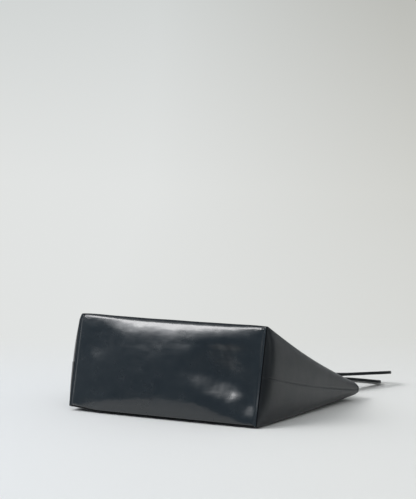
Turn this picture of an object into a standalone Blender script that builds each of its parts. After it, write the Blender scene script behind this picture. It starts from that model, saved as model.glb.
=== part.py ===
"""A leather tote bag that lies on its back panel: base towards -Y, mouth towards +Y, +Z up.

Lengths are in metres. The origin is the middle of the back panel's face on the floor.
A place along the bag is v, from 0 at the base to 1 at the mouth. The cross-section at v is
a rounded rectangle, and a depth of leather is counted inwards from the bag's outer face.
"""

import math

import bpy
from mathutils import Vector

BASE_WIDTH = 0.331
BASE_DEPTH = 0.155
BASE_LEAN = math.radians(12.9)
BASE_CROWN = 0.010
BASE_EDGE_SAG = 0.002
PANEL_LENGTH = 0.310
MOUTH_WIDTH = 0.366
MOUTH_DEPTH = 0.034
MOUTH_CROWN = 0.009

FOLD_RADIUS = 0.004
FOLD_SAG = 0.0078
FACE_SAG = 0.006
GUSSET_BELLY = 0.0095
GUSSET_BELLY_RISE = 0.006

LEATHER = 0.002
FACING_THICKNESS = 0.0012
FACING_HEIGHT = 0.040
SEAM_STRIP_THICKNESS = 0.0012
SEAM_STRIP_WIDTH = 0.016
SEAM_STRIP_FOOT = 0.006
BOARD_THICKNESS = 0.002
BOARD_PLAY = 0.0015
GAP = 0.0003
STRAP_SEAT_GAP = 0.00045

STRAP_WIDTH = 0.012
STRAP_LAYER = 0.00215
STRAP_END_LENGTH = 0.032
STRAP_CORNER_RADIUS = 0.012
HANDLE_CLEARANCE = 0.0012

FRONT_HANDLE_SPACING = 0.200
FRONT_HANDLE_BAR_WIDTH = 0.332
FRONT_HANDLE_REACH = 0.163
FRONT_BAR_HEIGHT = 0.0210
FRONT_HANDLE_SOFTNESS = 0.001

BACK_HANDLE_SPACING = 0.200
BACK_HANDLE_BAR_WIDTH = 0.295
BACK_HANDLE_REACH = 0.1675
BACK_BAR_HEIGHT = 0.0038
BACK_HANDLE_SOFTNESS = 0.002

# Slopes of the handles: their rise or fall for each metre along.
FRONT_HANDLE_ROLL = 0.1182
FRONT_HANDLE_DROOP = 0.1145
BACK_HANDLE_ARCH = 0.2245
BACK_HANDLE_DROOP = 0.1773

# Numbers that shape the curves. A share is of a handle's reach.
MOUTH_FOLD_STRETCH = 1.9
MOUTH_FOLD_GROWTH = 6
EDGE_SAG_FADE = 6
BASE_CROWN_POWER = 2.4
MOUTH_CROWN_POWER = 4
BELLY_POWER = 3
BELLY_FADE = 1.5
FRONT_LEG_SETTLING_SHARE = 0.25
FRONT_LEG_FALL_POWER = 1.2
BACK_LEG_SETTLING_SHARE = 0.125
SHARP_ANGLE = math.radians(40)

LEATHER_COLOUR = (0.014, 0.019, 0.026, 1)
LINING_COLOUR = (0.022, 0.026, 0.032, 1)
EDGE_COLOUR = (0.008, 0.010, 0.013, 1)
BOARD_COLOUR = (0.10, 0.085, 0.07, 1)
PANEL_ROUGHNESS = 0.31
STRAP_ROUGHNESS = 0.37
STRAP_BACK_ROUGHNESS = 0.45
LINING_ROUGHNESS = 0.57
BOARD_ROUGHNESS = 0.80

STRAP_THICKNESS = 2 * STRAP_LAYER + GAP
FACING_DEPTH = LEATHER + GAP
STRAP_DEPTH = FACING_DEPTH + FACING_THICKNESS + STRAP_SEAT_GAP
SEAM_STRIP_DEPTH = LEATHER + 2 * GAP
LOWEST_STRAP_HEIGHT = STRAP_THICKNESS / 2 + GAP
LOWEST_CROSSING_HEIGHT = LOWEST_STRAP_HEIGHT + STRAP_THICKNESS + HANDLE_CLEARANCE

BASE_ROWS = (0, 0.002, 0.005, 0.009, 0.015, 0.025, 0.04)
ROW_STEP = 0.027
SIDE_STEPS = 3
FOLD_STEPS = 4
FACE_STEPS = 16
BASE_RINGS = 6
LEG_STEPS = 9
BAR_STEPS = 16
CORNER_STEPS = 5
STRAP_END_STEPS = 6
SEAM_STRIP_STEPS = 4


def smoothstep(value):
    value = min(1, max(0, value))
    return value * value * (3 - 2 * value)


def softened(value, softness):
    """Value where it is well above 0, and a smooth run to 0 below."""
    return softness * math.log1p(math.exp(value / softness))


def base_top():
    """(y, z) of the base's edge away from the floor."""
    return -PANEL_LENGTH / 2 + BASE_DEPTH * math.sin(BASE_LEAN), BASE_DEPTH * math.cos(BASE_LEAN)


def front_lip():
    """(y, z) of the front panel's mouth edge at a fold. The two panels are equally long."""
    top_y, top_z = base_top()
    return top_y + math.sqrt(PANEL_LENGTH**2 - (top_z - MOUTH_DEPTH) ** 2), MOUTH_DEPTH


def half_width(v):
    return (BASE_WIDTH + v * (MOUTH_WIDTH - BASE_WIDTH)) / 2


def section_frame(v):
    """(y of its foot, its upward direction as (y, z), its depth at the folds) for the section at v."""
    foot = (v - 0.5) * PANEL_LENGTH
    top_y, top_z = base_top()
    lip_y, lip_z = front_lip()
    rise_y = top_y + v * (lip_y - top_y) - foot
    rise_z = top_z + v * (lip_z - top_z)
    depth = math.hypot(rise_y, rise_z)
    return foot, (rise_y / depth, rise_z / depth), depth - FOLD_SAG * 4 * v * (1 - v)


def section_point(v, x, height):
    """A point of the cross-section at v, this far along its upward direction."""
    foot, (up_y, up_z), _ = section_frame(v)
    return Vector((x, foot + up_y * height, up_z * height))


def fold_radius(v, depth):
    """How far a fold's rounding reaches up a gusset. At the mouth the two meet at the seam."""
    return FOLD_RADIUS + (depth / 2 - FOLD_RADIUS) * v * v


def fold_reach(v, depth):
    """How far a fold's rounding reaches in along a face, further near the mouth's flattened ends."""
    return fold_radius(v, depth) * (1 + MOUTH_FOLD_STRETCH * v**MOUTH_FOLD_GROWTH)


def front_face_lift(v, x):
    """How far the front face stands above its folds: it sags before the mouth and opens there."""
    depth = section_frame(v)[2]
    share = min(1, abs(x) / (half_width(v) - fold_reach(v, depth)))
    sag = FACE_SAG * 4 * v * (1 - v) + BASE_EDGE_SAG * (1 - v) ** EDGE_SAG_FADE
    return MOUTH_CROWN * v * v * (1 - share**MOUTH_CROWN_POWER) - sag * (1 - share**2)


def belly(v, height, depth):
    """How far a gusset rolls outwards at this height: most just past the base's seam."""
    rise = 1 - math.exp(-v * PANEL_LENGTH / GUSSET_BELLY_RISE)
    across = 1 - abs(2 * height / depth - 1) ** BELLY_POWER
    return GUSSET_BELLY * rise * (1 - v) ** BELLY_FADE * max(0, across)


def side_x(v, inset, height):
    """How far out a gusset stands at this height, inset from its outer face."""
    depth = section_frame(v)[2]
    radius = max(fold_radius(v, depth) - inset, GAP / 2)
    reach = max(fold_reach(v, depth) - inset, GAP / 2)
    side_top = depth / 2 - inset - radius
    into_fold = max(0, abs(height - depth / 2) - side_top)
    straight_x = half_width(v) - inset - reach
    return straight_x + reach * math.sqrt(1 - (into_fold / radius) ** 2) + belly(v, height, depth)


def section_run(v, inset, front, seam_half_gap):
    """Points from the right side seam over a face to the left side seam, inset from the outer face."""
    depth = section_frame(v)[2]
    radius = max(fold_radius(v, depth) - inset, GAP / 2)
    reach = max(fold_reach(v, depth) - inset, GAP / 2)
    straight_x = half_width(v) - inset - reach
    side_top = depth / 2 - inset - radius
    quarter = []
    for step in range(SIDE_STEPS):
        start = min(seam_half_gap, side_top / 2)
        quarter.append((straight_x + reach, start + (side_top - start) * step / SIDE_STEPS))
    for step in range(FOLD_STEPS + 1):
        angle = math.pi / 2 * step / FOLD_STEPS
        rise = max(side_top + radius * math.sin(angle), seam_half_gap)
        quarter.append((straight_x + reach * math.cos(angle), rise))
    run = list(quarter)
    for step in range(1, FACE_STEPS):
        run.append((straight_x * (1 - 2 * step / FACE_STEPS), side_top + radius))
    run += [(-x, rise) for x, rise in reversed(quarter)]
    points = []
    for x, rise in run:
        height = depth / 2 + (rise if front else -rise)
        side = math.copysign(belly(v, height, depth), x)
        if front:
            height += front_face_lift(v, x) * smoothstep(rise / max(side_top, GAP))
        points.append(section_point(v, x + side, height))
    return points


def closed_mesh(name, points, faces):
    mesh = bpy.data.meshes.new(name)
    mesh.from_pydata(points, [], faces)
    mesh.validate()
    return mesh


def add_part(name, points, faces, material, smooth=True):
    part = bpy.data.objects.new(name, closed_mesh(name, points, faces))
    part.data.materials.append(material)
    if smooth:
        part.data.shade_smooth()
        part.data.set_sharp_from_angle(angle=SHARP_ANGLE)
    bpy.context.scene.collection.objects.link(part)
    return part


def slab(outer, inner):
    """Points and faces of the solid between two grids of equal size, outer seen from outside."""
    rows = len(outer)
    columns = len(outer[0])
    points = [point for grid in (outer, inner) for row in grid for point in row]
    shift = rows * columns

    def at(row, column, layer=0):
        return layer * shift + row * columns + column

    faces = []
    for row in range(rows - 1):
        for column in range(columns - 1):
            corners = ((row, column), (row, column + 1), (row + 1, column + 1), (row + 1, column))
            faces.append(tuple(at(*corner) for corner in corners))
            faces.append(tuple(at(*corner, 1) for corner in (corners[0], *reversed(corners[1:]))))
    rim = [(0, column) for column in range(columns - 1, 0, -1)]
    rim += [(row, 0) for row in range(rows - 1)]
    rim += [(rows - 1, column) for column in range(columns - 1)]
    rim += [(row, columns - 1) for row in range(rows - 1, 0, -1)]
    for here, after in zip(rim, rim[1:] + rim[:1]):
        faces.append((at(*here), at(*after), at(*after, 1), at(*here, 1)))
    return points, faces


def turned_out(points, faces, outwards):
    """The faces, turned round if the first one doesn't look along outwards."""
    a, b, c = (points[index] for index in faces[0][:3])
    if (b - a).cross(c - b).dot(outwards) > 0:
        return faces
    return [tuple(reversed(face)) for face in faces]


def bag_rows(start, end):
    """The places v of the rows between two places, close together near the base."""
    places = [row for row in BASE_ROWS if start < row < end]
    place = BASE_ROWS[-1] + ROW_STEP
    while place < end - ROW_STEP / 2:
        if place > start + ROW_STEP / 2:
            places.append(place)
        place += ROW_STEP * (1 + place)
    return [start, *places, end]


def bag_layer(name, front, depth, thickness, start, end, material):
    """A layer of the front or back half, from side seam to side seam and from start to end."""
    rows = bag_rows(start, end)
    outer = [section_run(v, depth, front, GAP / 2) for v in rows]
    inner = [section_run(v, depth + thickness, front, GAP / 2) for v in rows]
    points, faces = slab(outer, inner)
    return add_part(name, points, turned_out(points, faces, Vector((1, 0, 0))), material)


def add_base_panel(material):
    """The base, sewn to the panels' lower edges: its outline is theirs, and its middle is crowned."""
    _, up, depth = section_frame(0)
    outwards = Vector((0, -up[1], up[0]))
    outline = section_run(0, 0, True, 0) + section_run(0, 0, False, 0)[-2:0:-1]
    centre = section_point(0, 0, depth / 2)
    half = half_width(0)

    def crowned(point, offset):
        across = abs(point.x) / half
        along = abs((point - centre).dot(Vector((0, *up)))) / (depth / 2)
        crown = BASE_CROWN * max(0, 1 - across**BASE_CROWN_POWER) * max(0, 1 - along**BASE_CROWN_POWER)
        return point + outwards * (GAP + offset + crown)

    points = []
    for offset in (LEATHER, 0):
        for ring in range(BASE_RINGS, 0, -1):
            share = math.sin(math.pi / 2 * ring / BASE_RINGS)
            points += [crowned(centre + (point - centre) * share, offset) for point in outline]
        points.append(crowned(centre, offset))
    count = len(outline)
    layer = BASE_RINGS * count + 1
    faces = []
    for first in (0, layer):
        flip = first > 0
        for index in range(count):
            after = (index + 1) % count
            for ring in range(BASE_RINGS - 1):
                near = first + ring * count
                face = (near + index, near + after, near + count + after, near + count + index)
                faces.append(tuple(reversed(face)) if flip else face)
            near = first + (BASE_RINGS - 1) * count
            face = (near + index, near + after, first + layer - 1)
            faces.append(tuple(reversed(face)) if flip else face)
    for index in range(count):
        after = (index + 1) % count
        faces.append((index, layer + index, layer + after, after))
    return add_part("base_panel", points, turned_out(points, faces, outwards), material)


def add_base_board(material):
    """The flat board that keeps the base's shape, loose inside the panels' lower edges."""
    inset = SEAM_STRIP_DEPTH + SEAM_STRIP_THICKNESS + BOARD_PLAY
    _, up, depth = section_frame(0)
    inwards = Vector((0, up[1], -up[0]))
    corners = []
    for x, height in ((-1, inset), (1, inset), (1, depth - inset), (-1, depth - inset)):
        corners.append(section_point(0, x * (half_width(0) - inset), height) + inwards * GAP)
    points = corners + [corner + inwards * BOARD_THICKNESS for corner in corners]
    faces = [(0, 1, 2, 3), (7, 6, 5, 4)]
    faces += [(i, i + 4, (i + 1) % 4 + 4, (i + 1) % 4) for i in range(4)]
    return add_part("base_board", points, turned_out(points, faces, -inwards), material, smooth=False)


def add_seam_strip(name, side, material):
    """The strip glued and sewn over a side seam's raw edges, inside the bag."""
    start = next(row for row in BASE_ROWS if row * PANEL_LENGTH > SEAM_STRIP_FOOT)
    end = 1 - (FACING_HEIGHT + GAP) / PANEL_LENGTH
    grids = []
    for inset in (SEAM_STRIP_DEPTH, SEAM_STRIP_DEPTH + SEAM_STRIP_THICKNESS):
        grid = []
        for v in bag_rows(start, end):
            depth = section_frame(v)[2]
            row = []
            for step in range(SEAM_STRIP_STEPS + 1):
                height = depth / 2 + (step / SEAM_STRIP_STEPS - 0.5) * SEAM_STRIP_WIDTH
                row.append(section_point(v, side * side_x(v, inset, height), height))
            grid.append(row)
        grids.append(grid)
    points, faces = slab(*grids)
    return add_part(name, points, turned_out(points, faces, Vector((side, 0, 0))), material)


def strap_height(v, x, front):
    """Height in the cross-section of a strap end's middle, against the facing's inner face."""
    inset = STRAP_DEPTH + STRAP_THICKNESS / 2
    if front:
        return section_frame(v)[2] + front_face_lift(v, x) - inset
    return inset


def add_strap_end(name, x, front, material):
    """The end of a handle's strap, sewn to the inside of the mouth's facing."""
    start = 1 - STRAP_END_LENGTH / PANEL_LENGTH
    rows = [start + (1 - start) * step / STRAP_END_STEPS for step in range(STRAP_END_STEPS + 1)]
    grids = []
    for offset in (STRAP_THICKNESS / 2, -STRAP_THICKNESS / 2):
        grid = []
        for v in rows:
            edges = (x - STRAP_WIDTH / 2, x + STRAP_WIDTH / 2)
            grid.append([section_point(v, edge, strap_height(v, edge, front) + offset) for edge in edges])
        grids.append(grid)
    points, faces = slab(*grids)
    return add_part(name, points, turned_out(points, faces, Vector((0, 0, 1))), material, smooth=False)


def handle_axis(x, front):
    """The outer edge of the mouth's lip, round which a handle folds outwards."""
    depth = section_frame(1)[2]
    return section_point(1, 0, depth + front_face_lift(1, x) if front else 0)


def handle_plan(spacing, bar_width, start_y, reach):
    """The (x, y) of a handle's middle line, from its right end to its left, and the directions across it."""
    start = Vector((spacing / 2, start_y))
    corner = Vector((bar_width / 2, start_y + reach))
    leg = (corner - start).normalized()
    turn = math.acos(leg.dot(Vector((-1, 0))))
    cut = STRAP_CORNER_RADIUS * math.tan(turn / 2)
    leg_end = corner - leg * cut
    outward = Vector((leg.y, -leg.x))
    centre = leg_end - outward * STRAP_CORNER_RADIUS
    first = math.atan2(outward.y, outward.x)
    half = [(start + (leg_end - start) * step / LEG_STEPS, outward) for step in range(LEG_STEPS)]
    for step in range(CORNER_STEPS + 1):
        angle = first + turn * step / CORNER_STEPS
        radial = Vector((math.cos(angle), math.sin(angle)))
        half.append((centre + radial * STRAP_CORNER_RADIUS, radial))
    bar_start = half[-1][0].x
    bar = []
    for step in range(1, BAR_STEPS):
        bar.append((Vector((bar_start * (1 - 2 * step / BAR_STEPS), corner.y)), Vector((0, 1))))
    mirrored = [(Vector((-p.x, p.y)), Vector((-d.x, d.y))) for p, d in reversed(half)]
    return half + bar + mirrored


def front_handle_height(start, reach):
    """Height of the front handle's middle surface: held up on the right, over the back handle on the left."""

    def plane(x, y):
        across = FRONT_HANDLE_ROLL * (x - FRONT_HANDLE_BAR_WIDTH / 2)
        return FRONT_BAR_HEIGHT + across + FRONT_HANDLE_DROOP * (start.y + reach - y)

    spread = FRONT_HANDLE_SPACING / 2
    at_start = plane(spread, start.y) - start.z

    def height(x, y):
        along = (y - start.y) / reach
        right = plane(x, y) - at_start * max(0, 1 - along / FRONT_LEG_SETTLING_SHARE) ** 2
        fall = max(0, 1 - along) ** FRONT_LEG_FALL_POWER
        left = LOWEST_CROSSING_HEIGHT + (start.z - LOWEST_CROSSING_HEIGHT) * fall
        share = smoothstep(x / spread + 0.5)
        mixed = right * share + left * (1 - share)
        lifted = LOWEST_CROSSING_HEIGHT + softened(mixed - LOWEST_CROSSING_HEIGHT, FRONT_HANDLE_SOFTNESS)
        return mixed + (lifted - mixed) * smoothstep(along * 2)

    return height


def back_handle_height(start, reach):
    """Height of the back handle's middle surface: its right leg arches, and the rest lies on the floor."""

    def height(x, y):
        rising = start.z + BACK_HANDLE_ARCH * (y - start.y)
        falling = BACK_BAR_HEIGHT + BACK_HANDLE_DROOP * (start.y + reach - y)
        right = falling - softened(falling - rising, BACK_HANDLE_SOFTNESS)
        along = (y - start.y) / reach
        settled = smoothstep(max(0, along) / BACK_LEG_SETTLING_SHARE)
        right = start.z + (right - start.z) * settled
        left = start.z + (LOWEST_STRAP_HEIGHT - start.z) * smoothstep(along)
        share = smoothstep(x / BACK_HANDLE_SPACING + 0.5)
        return right * share + left * (1 - share)

    return height


def add_handle(name, front, materials):
    """A handle outside the bag, as two layers of strap: outer is the one away from the bag's inside."""
    spacing = FRONT_HANDLE_SPACING if front else BACK_HANDLE_SPACING
    bar_width = FRONT_HANDLE_BAR_WIDTH if front else BACK_HANDLE_BAR_WIDTH
    reach = FRONT_HANDLE_REACH if front else BACK_HANDLE_REACH
    up = Vector((0, *section_frame(1)[1]))
    away = Vector((0, up.z, -up.y))
    start = section_point(1, spacing / 2, strap_height(1, spacing / 2, front)) + away * GAP
    height = (front_handle_height if front else back_handle_height)(start, reach)
    plan = handle_plan(spacing, bar_width, start.y, reach)
    axis = handle_axis(spacing / 2, front)
    pivot = bpy.data.objects.new(name + "_pivot", None)
    pivot.location = axis
    bpy.context.scene.collection.objects.link(pivot)
    layers = (("outer", 1), ("inner", -1)) if front else (("inner", 1), ("outer", -1))
    for layer, side in layers:
        grids = []
        for offset in (side * GAP / 2, side * (GAP / 2 + STRAP_LAYER)):
            grid = []
            for index, (middle, sideways) in enumerate(plan):
                ends = index in (0, len(plan) - 1)
                if ends:
                    sideways = Vector((math.copysign(1, middle.x), 0))
                row = []
                for edge in (-STRAP_WIDTH / 2, STRAP_WIDTH / 2):
                    at = middle + sideways * edge
                    lift = up * offset if ends else Vector((0, 0, offset))
                    row.append(Vector((at.x, at.y, height(at.x, at.y))) + lift - axis)
                grid.append(row)
            grids.append(grid)
        if side > 0:
            grids.reverse()
        points, faces = slab(*grids)
        faces = turned_out(points, faces, Vector((0, 0, 1)))
        part = add_part(f"{name}_{layer}", points, faces, materials[layer], smooth=False)
        part.parent = pivot


def principled(name, colour, roughness):
    material = bpy.data.materials.new(name)
    material.use_nodes = True
    shader = material.node_tree.nodes["Principled BSDF"]
    shader.inputs["Base Color"].default_value = colour
    shader.inputs["Roughness"].default_value = roughness
    shader.inputs["Metallic"].default_value = 0
    return material


def build():
    for item in list(bpy.data.objects):
        bpy.data.objects.remove(item, do_unlink=True)
    facing_start = 1 - FACING_HEIGHT / PANEL_LENGTH
    for side, front in (("front", True), ("back", False)):
        leather = principled(side + "_panel", LEATHER_COLOUR, PANEL_ROUGHNESS)
        bag_layer(side + "_panel", front, 0, LEATHER, 0, 1, leather)
        lining = principled(side + "_facing", LINING_COLOUR, LINING_ROUGHNESS)
        bag_layer(side + "_facing", front, FACING_DEPTH, FACING_THICKNESS, facing_start, 1, lining)
        spacing = FRONT_HANDLE_SPACING if front else BACK_HANDLE_SPACING
        for hand, x in (("left", -spacing / 2), ("right", spacing / 2)):
            name = f"{side}_{hand}_strap_end"
            add_strap_end(name, x, front, principled(name, LEATHER_COLOUR, STRAP_ROUGHNESS))
        layers = {
            "outer": principled(side + "_handle_outer", LEATHER_COLOUR, STRAP_ROUGHNESS),
            "inner": principled(side + "_handle_inner", EDGE_COLOUR, STRAP_BACK_ROUGHNESS),
        }
        add_handle(side + "_handle", front, layers)
    add_base_panel(principled("base_panel", LEATHER_COLOUR, PANEL_ROUGHNESS))
    add_base_board(principled("base_board", BOARD_COLOUR, BOARD_ROUGHNESS))
    for hand, side in (("left", -1), ("right", 1)):
        name = hand + "_seam_strip"
        add_seam_strip(name, side, principled(name, LINING_COLOUR, LINING_ROUGHNESS))


build()
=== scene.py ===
"""Looks of the leather tote bag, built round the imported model. Lengths are in metres."""

import math

import bpy
import numpy as np
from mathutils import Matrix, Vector


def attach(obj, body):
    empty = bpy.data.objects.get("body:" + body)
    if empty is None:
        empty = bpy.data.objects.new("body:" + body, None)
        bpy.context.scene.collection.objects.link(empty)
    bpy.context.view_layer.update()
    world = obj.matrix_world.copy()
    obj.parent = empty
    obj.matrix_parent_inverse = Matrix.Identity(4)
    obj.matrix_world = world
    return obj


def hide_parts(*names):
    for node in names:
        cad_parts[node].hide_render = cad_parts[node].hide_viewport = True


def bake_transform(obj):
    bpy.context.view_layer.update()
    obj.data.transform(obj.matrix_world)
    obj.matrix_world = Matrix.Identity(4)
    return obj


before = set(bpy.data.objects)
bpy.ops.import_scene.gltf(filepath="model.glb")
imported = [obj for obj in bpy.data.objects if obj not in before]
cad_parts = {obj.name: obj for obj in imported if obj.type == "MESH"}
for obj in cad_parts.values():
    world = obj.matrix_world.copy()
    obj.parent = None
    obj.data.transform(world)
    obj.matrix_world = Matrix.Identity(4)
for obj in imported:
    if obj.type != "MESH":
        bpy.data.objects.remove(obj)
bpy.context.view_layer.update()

BASE_WIDTH = 0.331
BASE_DEPTH = 0.155
BASE_LEAN = math.radians(12.9)
BASE_CROWN = 0.0082
BASE_EDGE_SAG = 0.002
PANEL_LENGTH = 0.310
MOUTH_WIDTH = 0.366
MOUTH_DEPTH = 0.034
MOUTH_CROWN = 0.009
FOLD_RADIUS = 0.004
FOLD_SAG = 0.0078
FACE_SAG = 0.006
GUSSET_BELLY = 0.0095
GUSSET_BELLY_RISE = 0.007
LEATHER = 0.002
FACING_THICKNESS = 0.0012
FACING_HEIGHT = 0.040
GAP = 0.0003
STRAP_SEAT_GAP = 0.00045

# Roundings of the base's edges: how far each goes in from the edge, and along the body.
BASE_TOP_FOLD = (0.0085, 0.0085)
BASE_LOW_FOLD = (0.0064, 0.0180)
BASE_SEAM = 0.0016

# Seams and rows of stitches. A groove or ridge is (height, half-width).
BASE_STITCH_INSET = 0.0045
HEM_STITCH_INSET = 0.0075
SEAM_STITCH_INSET = 0.0026
FACING_STITCH_INSET = 0.010
SEAM_STEP = 0.0010
SEAM_STEP_RISE = 0.0009
SEAM_STEP_FADE = 0.010
SIDE_SEAM_GROOVE = (0.0007, 0.0007)
SIDE_STITCH_GROOVE = (0.0003, 0.0007)
HEM_STITCH_GROOVE = (0.0003, 0.0009)
BASE_STITCH_GROOVE = (0.0005, 0.0010)
BASE_SEAM_RIDGE = (0.0002, 0.0012)

BOARD_INSET = 0.0075
BOARD_DEPTH = 0.0065
BOARD_THICKNESS = 0.002

# How this bag has settled. A start is a distance left of the middle.
TOP_ROLL = 0.0016
TOP_ROLL_REACH = 0.030
CORNER_LIFT = 0.0046
LIFT_START = 0.105
LIFT_RUN = 0.060
LIFT_HEIGHT = 0.075
LIFT_LENGTH = 0.110
CORNER_TUCK = 0.0030
TUCK_START = 0.140
TUCK_RUN = 0.024
TUCK_HEIGHT_SHARE = 0.91
TUCK_LENGTH_SHARE = 0.20
LEFT_FULLNESS = 0.25
LEFT_FULLNESS_FADE = 0.10
BASE_FULLNESS = 0.0039
BASE_FULLNESS_REACH = 0.117

# Dents of the base: (x, height, half-width, half-height, lift). Each reaches further up than down.
DENT_UPPER_STRETCH = 2.5
BASE_DENTS = (
    (0.068, 0.080, 0.024, 0.018, -0.0048),
    (0.096, 0.069, 0.024, 0.018, -0.0058),
    (0.122, 0.057, 0.022, 0.020, -0.0054),
    (0.151, 0.035, 0.015, 0.016, -0.0050),
    (0.084, 0.050, 0.026, 0.005, -0.0005),
    (0.036, 0.120, 0.020, 0.012, -0.0018),
    (-0.030, 0.116, 0.040, 0.014, -0.0010),
    (-0.112, 0.106, 0.026, 0.020, -0.0018),
    (-0.112, 0.032, 0.024, 0.007, -0.0006),
    (-0.060, 0.034, 0.022, 0.006, -0.0004),
    (0.112, 0.126, 0.046, 0.010, 0.0016),
)

# Waves of the two faces: (share, waves along x, waves along y, phase, shift of each face).
WAVE_HEIGHT = 0.0011
WAVE_START = 0.02
LYING_WAVE_SHARE = 0.15
FACE_WAVES = ((0.5, 31, 11, 0, 1.3), (0.35, -23, 47, 2.1, 0), (0.3, 83, -29, 0.6, 1))

STRAP_WIDTH = 0.012
STRAP_LAYER = 0.00215
STRAP_END_LENGTH = 0.032
STRAP_CORNER_RADIUS = 0.012
STRAP_EDGE_CUT = 0.0006
STRAP_EDGE_SHARE = 0.3
STRAP_FLAT_SHARES = (0.55, 0, -0.55)
STRAP_GROOVE = 0.00035
STRAP_PAINT_WIDTH = 0.0005
STRAP_STITCH_INSET = 0.0017
HANDLE_CLEARANCE = 0.0012
HANDLE_SPACING = 0.200
FRONT_HANDLE_BAR_WIDTH = 0.332
FRONT_HANDLE_REACH = 0.163
FRONT_BAR_HEIGHT = 0.0210
FRONT_HANDLE_SOFTNESS = 0.001
BACK_HANDLE_BAR_WIDTH = 0.295
BACK_HANDLE_REACH = 0.1675
BACK_BAR_HEIGHT = 0.0038
BACK_HANDLE_SOFTNESS = 0.002

# Slopes of the handles: their rise or fall for each metre along.
FRONT_HANDLE_ROLL = 0.1182
FRONT_HANDLE_DROOP = 0.1145
BACK_HANDLE_ARCH = 0.2245
BACK_HANDLE_DROOP = 0.1773

# Numbers that shape the curves. A share is of a handle's reach.
MOUTH_FOLD_STRETCH = 1.9
MOUTH_FOLD_GROWTH = 6
EDGE_SAG_FADE = 6
BASE_SIDE_POWER = 2.6
BASE_EDGE_POWER = 8.4
BASE_EDGE_SOFTENING = 4.2
DENT_SIDE_POWER = 16
DENT_EDGE_POWER = 6
TOP_ROLL_POWER = 8
WAVE_EDGE_POWER = 6
MOUTH_CROWN_POWER = 4
BELLY_POWER = 3
BELLY_FADE = 1.5
FRONT_LEG_SETTLING_SHARE = 0.25
FRONT_LEG_FALL_POWER = 1.2
BACK_LEG_SETTLING_SHARE = 0.125

STRAP_THICKNESS = 2 * STRAP_LAYER + GAP
FACING_DEPTH = LEATHER + GAP
STRAP_DEPTH = FACING_DEPTH + FACING_THICKNESS + STRAP_SEAT_GAP
LOWEST_STRAP_HEIGHT = STRAP_THICKNESS / 2 + GAP
LOWEST_CROSSING_HEIGHT = LOWEST_STRAP_HEIGHT + STRAP_THICKNESS + HANDLE_CLEARANCE

# A stitch is (pitch, length, thread radius).
BAG_STITCH = (0.0036, 0.0026, 0.00028)
STRAP_STITCH = (0.0034, 0.0025, 0.00024)
STITCH_SLANT = 0.08
THREAD_FLATNESS = 0.8
THREAD_SIDES = 6

# Rings of a stitch: (share of its length, share of its radius, share of its radius above the leather).
STITCH_RINGS = ((-0.5, 0.35, -0.5), (-0.36, 0.9, 0.15), (0, 1, 0.35), (0.36, 0.9, 0.15), (0.5, 0.35, -0.5))

# Where rows of stitches start and end, and how many points they are drawn through.
SIDE_STITCH_ROW = (0.02, 0.97, 90)
BASE_STITCH_ROW = (0.006, BASE_DEPTH - 0.006, 40)

# Columns and rows of the leather's mesh. Rows are shares of the body's length.
QUARTER_AT_BASE = (0, 0.0103, 0.024, 0.045, 0.08, 0.14, 0.22, 0.31, 0.40, 0.49, 0.58, 0.67, 0.75, 0.82,
                   0.87, 0.905, 0.925, 0.94, 0.955, 0.97, 0.985, 1)
QUARTER_LAST = len(QUARTER_AT_BASE) - 1
FACE_COLUMNS = 48
CORNER_COLUMN = 18
CELLS_ACROSS = FACE_COLUMNS + 2 * (QUARTER_LAST - CORNER_COLUMN)
CELLS_UP = 2 * CORNER_COLUMN
BORDER_RINGS = (0.0015, 0.003, 0.0042, 0.0052, 0.0065, 0.008, 0.010)
BORDER = 0.012
ROUNDING_STEPS = 7
BASE_ROWS = [0.004 * k for k in range(1, 8)]
BODY_ROWS = [0.028 + 0.0135 * k for k in range(1, 69)]
HEM_ROWS = [0.957, 0.964, 0.970, 0.974, 0.977, 0.981, 0.986, 0.992]
RIM_ROWS = ((0.0002, 0.9975), (0.0006, 0.9995), (0.0010, 1), (0.0014, 0.9995), (0.0018, 0.9975))
INNER_ROWS = (0.985, 0.95, 0.9, 0.8, 0.7, 0.6, 0.5, 0.4, 0.3, 0.2, 0.12, 0.06, 0.03, 0.015, 0.007)
LOW_SEAM_ROWS = 12
SIDE_SEAM_ROWS = 3
SEAM_COSINE = 0.8
BOARD_CELLS = (28, 14)
FACING_STEPS = 8
FACING_TOP = 0.995
LEG_STEPS = 40
CORNER_STEPS = 12
BAR_STEPS = 60
STRAP_END_STEPS = 10
STRAP_SMOOTHINGS = 10

# Textures: a noise is (scale, detail, roughness, stretch), and a depth is a bump's.
PORE_SCALE = 1500
PORE_DEPTH = 0.00006
GRAIN = (420, 4, 0.6)
GRAIN_DEPTH = 0.0002
SWELLS = (26, 2, 0.45)
SWELL_DEPTH = 0.006
STREAKS = (52, 3, 0.5, (0.32, 1, 1.3))
STREAK_DEPTH = 0.0016
PATCHES = (19, 3, 0.55)
WEAR = (55, 5, 0.6)
WEAR_SPAN = (0.3, 0.75)
FIBRES = (300, 6, 0.7, (1, 1, 0.3))
FIBRE_DEPTH = 0.0004
WEAVE_SCALE = 420
WEAVE_DEPTH = 0.0003
ROUGH_DEPTH = 0.0001

FOCAL_PIXELS = 2000
LONG_SIDE_PIXELS = 499
SENSOR = 36
CAMERA_PLACE = (1.5485, -2.7151, 0.5281)
CAMERA_YAW = math.radians(-29.773)
CAMERA_PITCH = math.radians(5.149)

CAMERA_RIGHT = (math.cos(CAMERA_YAW), -math.sin(CAMERA_YAW), 0)
CAMERA_AHEAD = (math.sin(CAMERA_YAW), math.cos(CAMERA_YAW), 0)

FLOOR_SIZE = 9
FLOOR_STEP = 0.8
FLOOR_STEPS = 12
BACKDROP_PLACE = 3.8
BACKDROP_RADIUS = 2.2
BACKDROP_STEPS = 24
BACKDROP_TOP = 7.0

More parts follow.
